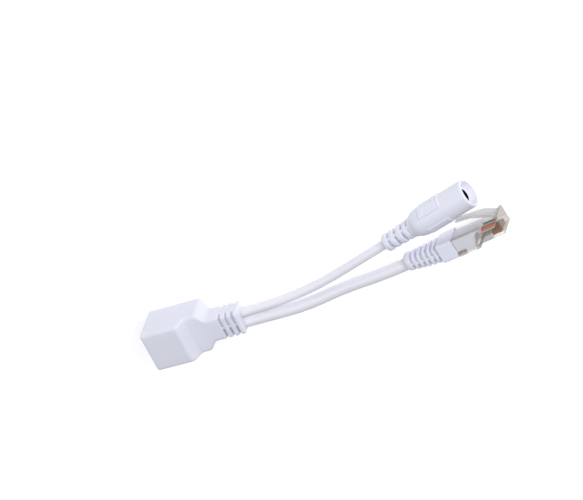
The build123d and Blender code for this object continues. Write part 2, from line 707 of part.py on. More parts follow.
def main():
    os.makedirs("parts", exist_ok=True)
    for name, shape in all_nodes().items():
        export_step(shape, "parts/" + name + ".step")


main()
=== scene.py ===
import math

import bmesh
import bpy
from mathutils import Matrix, Vector


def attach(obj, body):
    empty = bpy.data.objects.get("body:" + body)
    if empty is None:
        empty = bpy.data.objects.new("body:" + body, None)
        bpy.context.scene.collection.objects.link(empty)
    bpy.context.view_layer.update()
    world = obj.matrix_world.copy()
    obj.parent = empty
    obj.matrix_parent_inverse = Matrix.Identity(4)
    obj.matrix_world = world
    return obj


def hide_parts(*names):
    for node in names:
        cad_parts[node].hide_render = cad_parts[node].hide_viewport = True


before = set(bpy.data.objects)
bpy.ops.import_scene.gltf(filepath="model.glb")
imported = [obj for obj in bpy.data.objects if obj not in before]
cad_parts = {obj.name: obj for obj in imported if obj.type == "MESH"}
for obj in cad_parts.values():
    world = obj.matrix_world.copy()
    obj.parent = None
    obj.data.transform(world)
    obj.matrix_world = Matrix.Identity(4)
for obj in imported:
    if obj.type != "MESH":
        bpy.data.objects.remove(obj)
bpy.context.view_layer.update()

# A passive power injector lead for Ethernet, lying on a pale table. Lengths are in millimetres
# until a mesh is made, and MM turns them into metres. The frame's origin is under the socket
# housing, and +X runs towards the plug and the jack.
MM = 0.001
BODY = "lead"

# ---- Places of the two far ends. Each has its own frame, with +X along its axis.
PLUG_ORIGIN = (95.4, 3.11, 6.5)
PLUG_YAW = 9.4
PLUG_ROLL = -6.3
JACK_ORIGIN = (90.4, 14.2, 5.95)
JACK_YAW = 17.1

# ---- Cables
DATA_DIAMETER = 5.1
POWER_DIAMETER = 3.8
NECK_END = 21.1
NECK_MIDDLE = 8.9
DATA_ROUTE = [
    (NECK_END, -2.35, NECK_MIDDLE),
    (31.5, -2.35, NECK_MIDDLE),
    (48.0, -3.2, 7.2),
    (66.0, -0.4, 5.9),
    (83.56, 1.15, 6.5),
    PLUG_ORIGIN,
]
POWER_ROUTE = [
    (NECK_END, 2.25, NECK_MIDDLE),
    (30.5, 2.25, NECK_MIDDLE),
    (44.5, 2.4, 7.2),
    (60.5, 4.9, 5.9),
    (79.89, 10.97, 5.95),
    JACK_ORIGIN,
]


def place(origin, yaw, roll=0.0):
    """The matrix of a far end's own frame."""
    turn = Matrix.Rotation(math.radians(yaw), 4, "Z") @ Matrix.Rotation(math.radians(roll), 4, "X")
    return Matrix.Translation(Vector(origin)) @ turn


HOUSING_PLACE = Matrix.Identity(4)
PLUG_PLACE = place(PLUG_ORIGIN, PLUG_YAW, PLUG_ROLL)
JACK_PLACE = place(JACK_ORIGIN, JACK_YAW)


# ---- Camera

CAMERA_AIM = (48.4, 17.3, -3.4)
CAMERA_DISTANCE = 900.0
CAMERA_AZIMUTH = 141.9
CAMERA_ELEVATION = 53.9
CAMERA_ROLL = 197.1
CAMERA_LENS = 137.4
CAMERA_SENSOR = 36.0
CAMERA_CLIP_START = 0.01


def make_camera():
    """The camera, as a distance and angles round the point that it aims at."""
    azimuth = math.radians(CAMERA_AZIMUTH)
    elevation = math.radians(CAMERA_ELEVATION)
    roll = math.radians(CAMERA_ROLL)
    back = Vector((
        math.sin(azimuth) * math.cos(elevation),
        -math.cos(azimuth) * math.cos(elevation),
        math.sin(elevation),
    ))
    level = Vector((0, 0, 1)).cross(back).normalized()
    above = back.cross(level)
    right = level * math.cos(roll) + above * math.sin(roll)
    up = above * math.cos(roll) - level * math.sin(roll)
    data = bpy.data.cameras.new("camera")
    data.lens = CAMERA_LENS
    data.sensor_width = CAMERA_SENSOR
    data.clip_start = CAMERA_CLIP_START
    camera = bpy.data.objects.new("camera", data)
    bpy.context.scene.collection.objects.link(camera)
    turn = Matrix((right, up, back)).transposed().to_4x4()
    spot = (Vector(CAMERA_AIM) + back * CAMERA_DISTANCE) * MM
    camera.matrix_world = Matrix.Translation(spot) @ turn
    bpy.context.scene.camera = camera


make_camera()


# ---- Materials

def plain_material(name, colour, roughness, **sockets):
    """A Principled material. Extra sockets are given by name, with _ for a space."""
    material = bpy.data.materials.new(name)
    material.use_nodes = True
    shader = material.node_tree.nodes["Principled BSDF"]
    shader.inputs["Base Color"].default_value = (*colour, 1.0)
    shader.inputs["Roughness"].default_value = roughness
    for socket, value in sockets.items():
        shader.inputs[socket.replace("_", " ")].default_value = value
    return material


def add_bump(material, scale, strength, distance=0.00005):
    """The same material with a fine moulded grain. The distance is its height in metres."""
    tree = material.node_tree
    shader = tree.nodes["Principled BSDF"]
    spot = tree.nodes.new("ShaderNodeTexCoord")
    noise = tree.nodes.new("ShaderNodeTexNoise")
    noise.inputs["Scale"].default_value = scale
    noise.inputs["Detail"].default_value = 3.0
    bump = tree.nodes.new("ShaderNodeBump")
    bump.inputs["Strength"].default_value = strength
    bump.inputs["Distance"].default_value = distance
    tree.links.new(spot.outputs["Object"], noise.inputs["Vector"])
    tree.links.new(noise.outputs["Fac"], bump.inputs["Height"])
    tree.links.new(bump.outputs["Normal"], shader.inputs["Normal"])
    return material


WHITE_PVC = add_bump(
    plain_material("white_pvc", (0.79, 0.795, 0.89), 0.45, Specular_IOR_Level=0.35), 1800.0, 0.08,
)
CABLE_PVC = add_bump(
    plain_material("cable_pvc", (0.85, 0.845, 0.91), 0.42, Specular_IOR_Level=0.35), 1200.0, 0.06,
)
INSULATOR = plain_material("insulator", (0.82, 0.82, 0.84), 0.35)
INNER_PLASTIC = plain_material("inner_plastic", (0.80, 0.79, 0.83), 0.5, Subsurface_Weight=0.1)
# Near black for the inside of the jack's hole: painted shade where the deep hole is dark, not the
# insulator's own colour.
HOLE_PAINTED_SHADE = plain_material("hole_painted_shade", (0.006, 0.005, 0.005), 0.5)
GOLD = plain_material("gold_plate", (0.60, 0.24, 0.03), 0.3, Metallic=0.8)
NICKEL = plain_material("nickel", (0.62, 0.60, 0.56), 0.3, Metallic=1.0)
BRASS = plain_material("brass_pin", (0.72, 0.50, 0.24), 0.28, Metallic=1.0)
SOLDER = plain_material("solder", (0.55, 0.56, 0.58), 0.35, Metallic=1.0)


# ---- Clear plastic of the plug. Where it has no white fill behind it, it is drawn smoky brown: painted shade and painted reflection of the dark parts inside and the dark surroundings, not a tint of the plastic.
# Lengths are in the plug's own frame, with the plug's body from PLUG_REAR on.

PLUG_REAR = 22.8
# The nose gets the smoky brown painted shade in front of two slanted edges, each as (x at y = 0, slope of
# x over y).
PAINTED_SHADE_EDGES = ((PLUG_REAR + 9.0, 0.4), (PLUG_REAR + 7.1, 1.5))
PAINTED_SHADE_BLEND = 0.4
# Within the nose, the sides of the contacts and the top over the wires stay mostly clear.
NOSE_FACE = PLUG_REAR + 21.2
CONTACTS_START = PLUG_REAR + 16.0
CONTACTS_TOP = 0.3
DECK_END = NOSE_FACE - 2.4
DECK_START = 3.4
CLEARER = 0.95
# The rim of the +Z wall and the corner at the strain relief window get the same painted shade too.
WALL_START = 4.7
STREAK_LOW = 3.3
WINDOW_END = PLUG_REAR + 3.8
WINDOW_TOP = -1.7
CLEAR_EDGE_RADIUS = 0.3 * MM
BEVEL_SAMPLES = 6
MIX_COLOUR_INPUTS = (0, 6, 7)
MIX_COLOUR_OUTPUT = 2


def add_node(tree, kind, **inputs):
    """A shader node with its inputs set by name, with _ for a space."""
    node = tree.nodes.new(kind)
    for socket, value in inputs.items():
        node.inputs[socket.replace("_", " ")].default_value = value
    return node


def ramp(tree, source, start, end):
    """0 up to start and 1 from end on, for lengths in millimetres."""
    node = add_node(tree, "ShaderNodeMapRange", From_Min=start * MM, From_Max=end * MM)
    tree.links.new(source, node.inputs["Value"])
    return node.outputs["Result"]


def combined(tree, operation, first, second):
    """The result of one sum on two sources, each a socket or a number."""
    node = tree.nodes.new("ShaderNodeMath")
    node.operation = operation
    for socket, source in zip(node.inputs, (first, second)):
        if isinstance(source, float):
            socket.default_value = source
        else:
            tree.links.new(source, socket)
    return node.outputs["Value"]


def product(tree, first, *others):
    """The product of two or more sources."""
    for other in others:
        first = combined(tree, "MULTIPLY", first, other)
    return first


def painted_shade_share(tree):
    """Share of painted shade and painted reflection on the plug's clear plastic: 1 where it has no white
    fill behind it, and 0 over the fill.
    """
    spot = tree.nodes.new("ShaderNodeTexCoord")
    local = tree.nodes.new("ShaderNodeMapping")
    local.vector_type = "TEXTURE"
    local.inputs["Location"].default_value = PLUG_PLACE.translation * MM
    local.inputs["Rotation"].default_value = PLUG_PLACE.to_euler()
    tree.links.new(spot.outputs["Object"], local.inputs["Vector"])
    axes = tree.nodes.new("ShaderNodeSeparateXYZ")
    tree.links.new(local.outputs["Vector"], axes.inputs["Vector"])
    x, y, z = axes.outputs["X"], axes.outputs["Y"], axes.outputs["Z"]
    edges = []
    for start, slope in PAINTED_SHADE_EDGES:
        slanted = combined(tree, "SUBTRACT", x, product(tree, y, slope))
        edges.append(ramp(tree, slanted, start, start + PAINTED_SHADE_BLEND))
    over_contacts = product(
        tree,
        ramp(tree, x, CONTACTS_START, CONTACTS_START + 0.4),
        ramp(tree, x, NOSE_FACE, NOSE_FACE - 0.2),
        ramp(tree, y, CONTACTS_TOP, CONTACTS_TOP - 0.4),
    )
    deck = product(
        tree, ramp(tree, x, DECK_END, DECK_END - 0.4), ramp(tree, y, DECK_START, DECK_START + 0.3),
    )
    clearness = product(tree, combined(tree, "MAXIMUM", over_contacts, deck), CLEARER)
    nose = product(tree, combined(tree, "MINIMUM", *edges), combined(tree, "SUBTRACT", 1.0, clearness))
    # The rim of the +Z wall: a painted shade streak.
    side_wall = product(
        tree, ramp(tree, z, WALL_START, WALL_START + 0.3), ramp(tree, y, STREAK_LOW, STREAK_LOW + 0.4),
    )
    # The corner at the window's notch: painted shade.
    window = product(
        tree, ramp(tree, x, WINDOW_END, WINDOW_END - 0.3), ramp(tree, y, WINDOW_TOP, WINDOW_TOP - 0.4),
    )
    return combined(tree, "MAXIMUM", nose, combined(tree, "MAXIMUM", side_wall, window))


def clear_material(name, over_fill, bare):
    """Clear moulded plastic, drawn with opacity. Its look is (colour, opacity face on, opacity edge on),
    once over the white fill and once where it is bare.
    The bare colour is painted shade and painted reflection, and the opacity edge on stands in for the
    plastic's reflection at grazing angles."""
    material = plain_material(name, bare[0], 0.12, IOR=1.5, Specular_IOR_Level=0.7)
    tree = material.node_tree
    shader = tree.nodes["Principled BSDF"]
    bevel = add_node(tree, "ShaderNodeBevel", Radius=CLEAR_EDGE_RADIUS)
    bevel.samples = BEVEL_SAMPLES
    tree.links.new(bevel.outputs["Normal"], shader.inputs["Normal"])
    # The share of painted shade and painted reflection on the clear plastic.
    painted_shade_mask = painted_shade_share(tree)
    colour = tree.nodes.new("ShaderNodeMix")
    colour.data_type = "RGBA"
    factor, first, second = (colour.inputs[index] for index in MIX_COLOUR_INPUTS)
    first.default_value = (*over_fill[0], 1.0)
    second.default_value = (*bare[0], 1.0)
    tree.links.new(painted_shade_mask, factor)
    tree.links.new(colour.outputs[MIX_COLOUR_OUTPUT], shader.inputs["Base Color"])
    facing = add_node(tree, "ShaderNodeLayerWeight", Blend=0.3)
    tree.links.new(bevel.outputs["Normal"], facing.inputs["Normal"])
    opacity = tree.nodes.new("ShaderNodeMapRange")
    tree.links.new(facing.outputs["Facing"], opacity.inputs["Value"])
    for index, socket in ((1, "To Min"), (2, "To Max")):
        limit = add_node(tree, "ShaderNodeMapRange", To_Min=over_fill[index], To_Max=bare[index])
        tree.links.new(painted_shade_mask, limit.inputs["Value"])
        tree.links.new(limit.outputs["Result"], opacity.inputs[socket])
    tree.links.new(opacity.outputs["Result"], shader.inputs["Alpha"])
    return material


OVER_FILL_LOOK = ((0.66, 0.64, 0.64), 0.04, 0.4)
# Brown of the bare look: painted shade and painted reflection, not a tint of the clear plastic.
BARE_SHADED_LOOK = ((0.30, 0.235, 0.175), 0.21, 0.85)
LATCH_LOOK = ((0.48, 0.48, 0.46), 0.3, 0.8)
CLEAR = clear_material("clear_plug", OVER_FILL_LOOK, BARE_SHADED_LOOK)
CLEAR_LATCH = clear_material("clear_latch", LATCH_LOOK, LATCH_LOOK)


# ---- Materials of the CAD's own nodes

CORE_COLOURS = {
    "orange_white": (0.80, 0.22, 0.10),
    "orange": (0.95, 0.12, 0.02),
    "green_white": (0.16, 0.32, 0.25),
    "green": (0.005, 0.08, 0.045),
    "positive": (0.50, 0.02, 0.02),
    "negative": (0.02, 0.02, 0.02),
}
CORES = {name: plain_material("core_" + name, colour, 0.35) for name, colour in CORE_COLOURS.items()}


def finish_node(node, material):
    """Gives a CAD node its final material."""
    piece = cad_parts[node]
    piece.data.materials.clear()
    piece.data.materials.append(material)


for node, material in {
    "socket_insert": INSULATOR,
    "contact_carrier": INSULATOR,
    "inner_mould": INNER_PLASTIC,
    "data_cable_held_end": CABLE_PVC,
    "power_cable_held_end": CABLE_PVC,
    "plug_cable_end": CABLE_PVC,
    "jack_cable_end": CABLE_PVC,
    "plug_shell": CLEAR,
    "socket_contacts": GOLD,
    "contact_terminals": GOLD,
    "plug_contacts": GOLD,
    "jack_sleeve_contact": NICKEL,
    "jack_spring_leaf": NICKEL,
    "jack_centre_pin": BRASS,
    "solder_joints": SOLDER,
    "jack_solder_joints": SOLDER,
}.items():
    finish_node(node, material)
for name, material in CORES.items():
    for end in ("socket", "jack"):
        node = end + "_core_" + name
        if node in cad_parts:
            finish_node(node, material)


# ---- Cables

def make_cable(name, route, diameter, node):
    """A round cable along its route, as one smooth curve in place of a CAD node."""
    curve = bpy.data.curves.new(name, "CURVE")
    curve.dimensions = "3D"
    curve.resolution_u = 24
    curve.bevel_depth = diameter / 2 * MM
    curve.bevel_resolution = 10
    curve.use_fill_caps = True
    spline = curve.splines.new("NURBS")
    spline.points.add(len(route) - 1)
    for point, spot in zip(spline.points, route):
        point.co = (*(value * MM for value in spot), 1.0)
    spline.order_u = 3
    spline.use_endpoint_u = True
    cable = bpy.data.objects.new(name, curve)
    bpy.context.scene.collection.objects.link(cable)
    curve.materials.append(CABLE_PVC)
    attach(cable, BODY)
    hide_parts(node)
    return cable


data_cable = make_cable("data_cable_jacket", DATA_ROUTE, DATA_DIAMETER, "data_cable")
power_cable = make_cable("power_cable_jacket", POWER_ROUTE, POWER_DIAMETER, "power_cable")


# ---- Mesh helpers

SHARP_ANGLE = math.radians(50)


def skin(name, rings, place_matrix, material, node, body=BODY):
    """A closed mesh through rings of points, with a flat cap on the first and the last, in place of
    a CAD node."""
    count = len(rings[0])
    points = [place_matrix @ Vector(point) * MM for ring in rings for point in ring]
    faces = []
    for low in range(0, (len(rings) - 1) * count, count):
        for index in range(count):
            following = (index + 1) % count
            faces.append((low + index, low + following, low + count + following, low + count + index))
    faces.append(tuple(range(count)))
    faces.append(tuple(range((len(rings) - 1) * count, len(rings) * count)))
    mesh = bpy.data.meshes.new(name)
    mesh.from_pydata(points, [], faces)
    tidy = bmesh.new()
    tidy.from_mesh(mesh)
    bmesh.ops.recalc_face_normals(tidy, faces=tidy.faces)
    tidy.to_mesh(mesh)
    tidy.free()
    mesh.shade_smooth()
    mesh.set_sharp_from_angle(angle=SHARP_ANGLE)
    mesh.materials.append(material)
    piece = bpy.data.objects.new(name, mesh)
    bpy.context.scene.collection.objects.link(piece)
    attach(piece, body)
    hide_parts(node)
    return piece


def quarter_circle(count):
    """Even steps round a quarter circle, as (sine, 1 less cosine), both from 0 to 1."""
    turns = [step / (count - 1) * math.pi / 2 for step in range(count)]
    return [(math.sin(turn), 1 - math.cos(turn)) for turn in turns]


def eased_line(corners, x):
    """Height at x of a line through (x, height, ease): each corner is rounded over its ease."""
    if x <= corners[0][0]:
        return corners[0][1]
    for before, corner in zip(corners, corners[1:]):
        if x <= corner[0]:
            slope = (corner[1] - before[1]) / (corner[0] - before[0])
            height = before[1] + slope * (x - before[0])
            break
    else:
        return corners[-1][1]
    for before, corner, after in zip(corners, corners[1:], corners[2:]):
        ease = corner[2]
        if ease and abs(x - corner[0]) < ease:
            slope_in = (corner[1] - before[1]) / (corner[0] - before[0])
            slope_out = (after[1] - corner[1]) / (after[0] - corner[0])
            along = x - corner[0] + ease
            start = corner[1] - slope_in * ease
            return start + slope_in * along + (slope_out - slope_in) * along ** 2 / (4 * ease)
    return height


CORNER_STEPS = 5
RIB_EDGE = 0.08
GROOVE_WALL_RUN = 0.03
GROOVE_START_DEPTH = 0.6


def section(half_width, low, high, corner, ribs):
    """Points round a rounded rectangle, as (y, z, in_window, quarter). The ribs between the windows
    have half widths: the first at the middle of the top and the bottom, the second of the sides."""
    middle = (low + high) / 2
    half_height = (high - low) / 2
    points = []
    for quarter in range(4):
        along, out = (half_width, half_height) if quarter % 2 == 0 else (half_height, half_width)
        turn = quarter * math.pi / 2
        flat = along - corner
        inner = min(ribs[quarter % 2] - RIB_EDGE, flat * 0.8)
        outer = min(ribs[quarter % 2] + RIB_EDGE, flat * 0.88)
        spots = [inner, outer, (flat + outer) / 2, flat]
        for spot in [-value for value in reversed(spots)] + [0.0] + spots:
            y, z = turned((-spot, out), turn)
            points.append((y, z + middle, abs(spot) > inner * 1.001, quarter))
        for step in range(1, CORNER_STEPS):
            angle = step / CORNER_STEPS * math.pi / 2
            local = (-flat - corner * math.sin(angle), out - corner + corner * math.cos(angle))
            y, z = turned(local, turn)
            points.append((y, z + middle, True, quarter))
    return points


def turned(local, angle):
    """A point in the YZ plane turned about +X."""
    y, z = local
    return (
        y * math.cos(angle) - z * math.sin(angle),
        y * math.sin(angle) + z * math.cos(angle),
    )


def groove_stations(start, end, rounding):
    """Stations over one groove, as (x, edge inset, depth from 0 to 1)."""
    edge = [(rounding * (1 - sine), rounding * fall) for sine, fall in quarter_circle(5)]
    before = [(start - gap, inset, 0.0) for gap, inset in edge]
    after = [(end + gap, inset, 0.0) for gap, inset in reversed(edge)]
    floor = [
        (start + GROOVE_WALL_RUN, rounding, GROOVE_START_DEPTH), (end - GROOVE_WALL_RUN, rounding, 1.0),
    ]
    return before + floor + after


def with_plain_stations(grooves, start, end, step):
    """All the stations from start to end: the grooves' own, and plain ones between them."""
    spans = [(groove[0][0], groove[-1][0]) for groove in grooves]
    count = max(2, round((end - start) / step))
    plain = []
    for index in range(count + 1):
        x = start + (end - start) * index / count
        if all(x < low - 0.1 or x > high + 0.1 for low, high in spans):
            plain.append((x, 0.0, 0.0))
    return sorted(plain + [station for groove in grooves for station in groove])


# ---- Socket housing. Its profiles are lists of (x, value, ease) for eased_line.

HALF_SIDE = 9.35
SOCKET_END = -20.5
HALF_WIDTHS = [(SOCKET_END, HALF_SIDE, 0), (3.7, HALF_SIDE, 1.4), (6.5, 5.6, 1.3), (NECK_END, 5.6, 0)]
TOPS = [
    (SOCKET_END, 2 * HALF_SIDE, 0), (-3.5, 2 * HALF_SIDE, 1.2), (-0.9, 13.7, 0.5), (NECK_END, 13.7, 0),
]
BELLIES = [(SOCKET_END, 0.0, 0), (3.6, 0.0, 0.7), (7.6, 4.1, 1.2), (NECK_END, 4.1, 0)]
CORNERS = [(SOCKET_END, 1.5, 0), (3.0, 1.5, 0.5), (7.5, 1.5, 0.5), (NECK_END, 1.5, 0)]
MOUTH_ROUNDING = 0.9
NECK_ROUNDING = 1.0
NECK_RIBS = (0.6, 2.3)
NECK_RIB_DIP = 0.3
NECK_SLEEVE = (5.0, 2.7)
NECK_SHALLOW = 1.8
NECK_GROOVE_START = 12.2
NECK_GROOVE_PITCH = 2.9
NECK_GROOVE_WIDTH = 1.25
NECK_GROOVE_EASE = 0.28
NECK_GROOVES = 3
HOUSING_STEP = 0.35
INSERT_HALF = 7.7
INSERT_LOW = 1.8
INSERT_HIGH = 16.8
INSERT_REAR = -6.4


def housing_ring(x, inset, depth=0.0, edge_inset=0.0):
    """A section of the housing. The neck's grooves are shallow on +Y and deep on -Y."""
    half_width = eased_line(HALF_WIDTHS, x) - inset
    low = eased_line(BELLIES, x) + inset
    high = eased_line(TOPS, x) - inset
    corner = max(eased_line(CORNERS, x) - inset, 0.35)
    ring = []
    outer = section(half_width, low, high, corner, NECK_RIBS)
    shrunk = section(half_width - edge_inset, low + edge_inset, high - edge_inset, corner, NECK_RIBS)
    for (y, z, window, quarter), (near_y, near_z, _, _) in zip(outer, shrunk):
        if window and edge_inset:
            y, z = near_y, near_z
        if window and depth:
            y *= NECK_SLEEVE[0] / half_width
            sleeve = (high - low) / 2 - NECK_SHALLOW * depth if y > 0 else NECK_SLEEVE[1]
            z = min(max(z, NECK_MIDDLE - sleeve), NECK_MIDDLE + sleeve)
        if not window and quarter % 2 == 0:
            z += math.copysign(min(edge_inset, NECK_RIB_DIP), NECK_MIDDLE - z)
        ring.append((x, y, z))
    return ring


def insert_ring(x, gap=0.0):
    """The pocket that the insert fills."""
    outline = section(INSERT_HALF + gap, INSERT_LOW - gap, INSERT_HIGH + gap, 0.3, NECK_RIBS)
    return [(x, y, z) for y, z, _, _ in outline]


def housing_rings():
    """The housing, from the pocket that holds the insert round its mouth to the neck's end."""
    rings = [insert_ring(INSERT_REAR), insert_ring(SOCKET_END + 0.2), insert_ring(SOCKET_END, 0.2)]
    for sine, fall in reversed(quarter_circle(6)):
        rings.append(housing_ring(SOCKET_END + MOUTH_ROUNDING * (1 - sine), MOUTH_ROUNDING * fall))
    starts = [NECK_GROOVE_START + NECK_GROOVE_PITCH * index for index in range(NECK_GROOVES)]
    grooves = [groove_stations(start, start + NECK_GROOVE_WIDTH, NECK_GROOVE_EASE) for start in starts]
    first = SOCKET_END + MOUTH_ROUNDING
    last = NECK_END - NECK_ROUNDING
    for x, edge_inset, depth in with_plain_stations(grooves, first + 0.4, last - 0.2, HOUSING_STEP):
        rings.append(housing_ring(x, 0.0, depth, edge_inset))
    for sine, fall in quarter_circle(6):
        rings.append(housing_ring(last + NECK_ROUNDING * sine, NECK_ROUNDING * fall))
    return rings


skin("socket_housing", housing_rings(), HOUSING_PLACE, WHITE_PVC, "socket_overmould")


# ---- Plug boot, in the plug's own frame

BOOT_LENGTH = PLUG_REAR
BOOT_BLOCK_START = 15.7
BOOT_HALF_HEIGHTS = [(0.0, 3.45, 0), (BOOT_BLOCK_START, 4.0, 0), (BOOT_LENGTH, 4.0, 0)]
BOOT_HALF_WIDTHS = [
    (0.0, 3.85, 0), (BOOT_BLOCK_START - 0.2, 5.5, 0), (BOOT_BLOCK_START, 5.9, 0), (BOOT_LENGTH, 5.9, 0),
]
BOOT_CORNERS = [
    (0.0, 3.0, 0), (BOOT_BLOCK_START - 0.3, 2.2, 0), (BOOT_BLOCK_START, 0.8, 0), (BOOT_LENGTH, 0.6, 0),
]
BOOT_RIBS = (0.8, 0.4)
BOOT_SLEEVE = 2.65
BOOT_SHALLOW = 1.5
BOOT_RIB_DIP = 0.3
BOOT_SLOT_START = 2.5
BOOT_SLOT_PITCH = 2.41
BOOT_SLOT_WIDTH = 1.05
BOOT_SLOT_EASE = 0.4
BOOT_SLOTS = 6
BOOT_STEP = 0.5
BOOT_FRONT_ROUNDING = 0.3
REAR_ROUNDING = 0.8
BEND_END = 13.0
BEND = 0.75


def bent(x):
    """How far the flexible rings bend sideways, towards their cable."""
    return BEND * max(0.0, 1 - x / BEND_END) ** 2


def boot_ring(x, inset, edge_inset=0.0, depth=0.0):
    """A section of the boot. Its slots reach the inner sleeve on -Y and are shallow on +Y."""
    half_height = eased_line(BOOT_HALF_HEIGHTS, x) - inset
    half_width = eased_line(BOOT_HALF_WIDTHS, x) - inset
    corner = max(eased_line(BOOT_CORNERS, x) - inset, 0.3)
    ring = []
    for y, z, window, quarter in section(half_height, -half_width, half_width, corner, BOOT_RIBS):
        if not window and quarter % 2 == 0:
            z -= math.copysign(min(edge_inset, BOOT_RIB_DIP), z)
        else:
            reach = math.hypot(y, z)
            goal = reach - edge_inset
            if depth:
                goal = BOOT_SLEEVE if y < 0 else max(BOOT_SLEEVE, reach - BOOT_SHALLOW * depth)
            y, z = y * goal / reach, z * goal / reach
        ring.append((x, y + bent(x), z))
    return ring


def boot_rings():
    """The boot, from its rounded rear end to the block's front."""
    rings = []
    for sine, fall in quarter_circle(5):
        rings.append(boot_ring(REAR_ROUNDING * fall, REAR_ROUNDING * (1 - sine)))
    starts = [BOOT_SLOT_START + BOOT_SLOT_PITCH * index for index in range(BOOT_SLOTS)]
    grooves = [groove_stations(start, start + BOOT_SLOT_WIDTH, BOOT_SLOT_EASE) for start in starts]
    for x, edge_inset, depth in with_plain_stations(grooves, 1.1, BOOT_LENGTH - 0.5, BOOT_STEP):
        rings.append(boot_ring(x, 0.0, edge_inset, depth))
    for sine, fall in quarter_circle(4):
        x = BOOT_LENGTH - BOOT_FRONT_ROUNDING * (1 - sine)
        rings.append(boot_ring(x, BOOT_FRONT_ROUNDING * fall))
    return rings


boot = skin("plug_boot_skin", boot_rings(), PLUG_PLACE, WHITE_PVC, "plug_boot")


# ---- The plug's white fill, its latch and its wires

# From the rear's top: the block, the shelf under the wires, the front slope and the window's notch.
FILL_HALF_WIDTH = 4.95
FILL_OUTLINE = [
    (0.05, 3.1), (12.6, 3.1), (12.6, 1.5), (18.4, 1.5), (18.4, 1.2), (9.7, 1.2),
    (8.9, -1.0), (7.5, -2.9), (7.2, -3.75), (3.7, -3.75), (3.7, -2.1), (0.4, -2.1),
    (0.4, -3.75), (0.05, -3.75),
]
LATCH_PIVOT = (PLUG_REAR + 19.96, 4.7)
LATCH_LINE = [
    (0.0, -0.05), (1.0, 0.55), (2.5, 1.3), (4.5, 2.1), (6.5, 2.65), (9.0, 3.1),
    (12.0, 3.5), (14.0, 3.7), (15.6, 3.8),
]
LATCH_HALF_WIDTHS = [(0.0, 3.0, 0), (6.0, 3.0, 0.4), (7.6, 1.95, 0.4), (15.6, 1.7, 0)]
LATCH_HALF_THICKNESS = 0.45
LATCH_RAIL = 0.45
LATCH_CHANNEL = 0.3


def fill_rings():
    """The fill, a prism across the plug."""
    return [[(PLUG_REAR + x, y, side * FILL_HALF_WIDTH) for x, y in FILL_OUTLINE] for side in (-1, 1)]


def latch_ring(index):
    """A section of the latch, with a rail along each long edge."""
    along, rise = LATCH_LINE[index]
    before, after = LATCH_LINE[max(index - 1, 0)], LATCH_LINE[min(index + 1, len(LATCH_LINE) - 1)]
    slope = math.atan2(after[1] - before[1], after[0] - before[0])
    half = eased_line(LATCH_HALF_WIDTHS, along)
    channel = half - LATCH_RAIL
    low, high = -LATCH_HALF_THICKNESS, LATCH_HALF_THICKNESS
    outline = [(low, -half), (low, half), (high, half), (high, channel), (high - LATCH_CHANNEL, channel)]
    outline += [(high - LATCH_CHANNEL, -channel), (high, -channel), (high, -half)]
    return [
        (
            LATCH_PIVOT[0] - along + out * math.sin(slope),
            LATCH_PIVOT[1] + rise + out * math.cos(slope),
            z,
        ) for out, z in outline
    ]


CORE_PITCH = 1.02
CORE_SPAN = (8.0, 18.9)
CORE_HEIGHT = 1.9
CORE_RADII = {"orange_white": 0.26, "orange": 0.32, "green_white": 0.3, "green": 0.32}
CORE_PINS = {"orange_white": 1, "orange": 2, "green_white": 3, "green": 6}
CORE_END = ((0.0, 0.5), (0.15, 0.9), (0.4, 1.0))     # (distance from the end, share of the radius)
CORE_FACET = 24
MIDDLE_PIN = 4.5


def core_rings(colour):
    """A wire's run from inside the fill to the nose, with rounded ends."""
    z = (MIDDLE_PIN - CORE_PINS[colour]) * CORE_PITCH
    start, end = (PLUG_REAR + x for x in CORE_SPAN)
    stations = [(start + gap, share) for gap, share in CORE_END]
    stations += [(end - gap, share) for gap, share in reversed(CORE_END)]
    turns = [math.radians(angle) for angle in range(0, 360, CORE_FACET)]
    rings = []
    for x, share in stations:
        radius = CORE_RADII[colour] * share
        rings.append([(x, CORE_HEIGHT + radius * math.sin(a), z + radius * math.cos(a)) for a in turns])
    return rings


plug_cores = [
    skin(
        "plug_wire_" + colour, core_rings(colour), PLUG_PLACE, CORES[colour],
        "plug_core_" + colour,
    ) for colour in CORE_PINS
]
fill = skin("plug_fill", fill_rings(), PLUG_PLACE, INNER_PLASTIC, "plug_inner_mould")
latch = skin(
    "plug_latch_skin", [latch_ring(index) for index in range(len(LATCH_LINE))], PLUG_PLACE,
    CLEAR_LATCH, "plug_latch", "latch",
)


# ---- DC jack, in the jack's own frame

JACK_LENGTH = 42.1
JACK_FLOOR = 39.7
JACK_RADIUS = 5.95
JACK_RADII = [
    (0.0, 3.6, 0), (2.0, 3.72, 0.5), (7.0, 3.78, 1.0), (9.5, 3.92, 1.0), (12.9, 3.92, 0.2),
    (14.8, 4.5, 0.15), (16.1, 5.25, 0.6), (18.0, 5.75, 0.9), (20.5, JACK_RADIUS, 1.2),
    (JACK_LENGTH, JACK_RADIUS, 0),
]
JACK_RECESS_RADIUS = 4.85
JACK_FLOOR_RADIUS = 3.5
JACK_POCKET_RADIUS = 4.3
JACK_RIM = 0.75
JACK_LIP = 0.35
POCKET_PROFILE = [
    (JACK_FLOOR + 0.3, JACK_FLOOR_RADIUS + 0.2), (JACK_FLOOR, JACK_FLOOR_RADIUS + 0.03),
    (JACK_FLOOR - 0.06, JACK_FLOOR_RADIUS + 0.03), (JACK_FLOOR - 0.06, JACK_POCKET_RADIUS - 0.05),
    (JACK_FLOOR - 12.0, JACK_POCKET_RADIUS - 0.05),
]
RELIEF_RIBS = (41.0, 221.0)
RELIEF_RIB_HALF = 11.0
RELIEF_GROOVE_START = 2.55
RELIEF_GROOVE_PITCH = 3.45
RELIEF_GROOVE_WIDTH = 1.1
RELIEF_GROOVE_EASE = 0.55
RELIEF_GROOVES = 3
RELIEF_STEP = 0.4
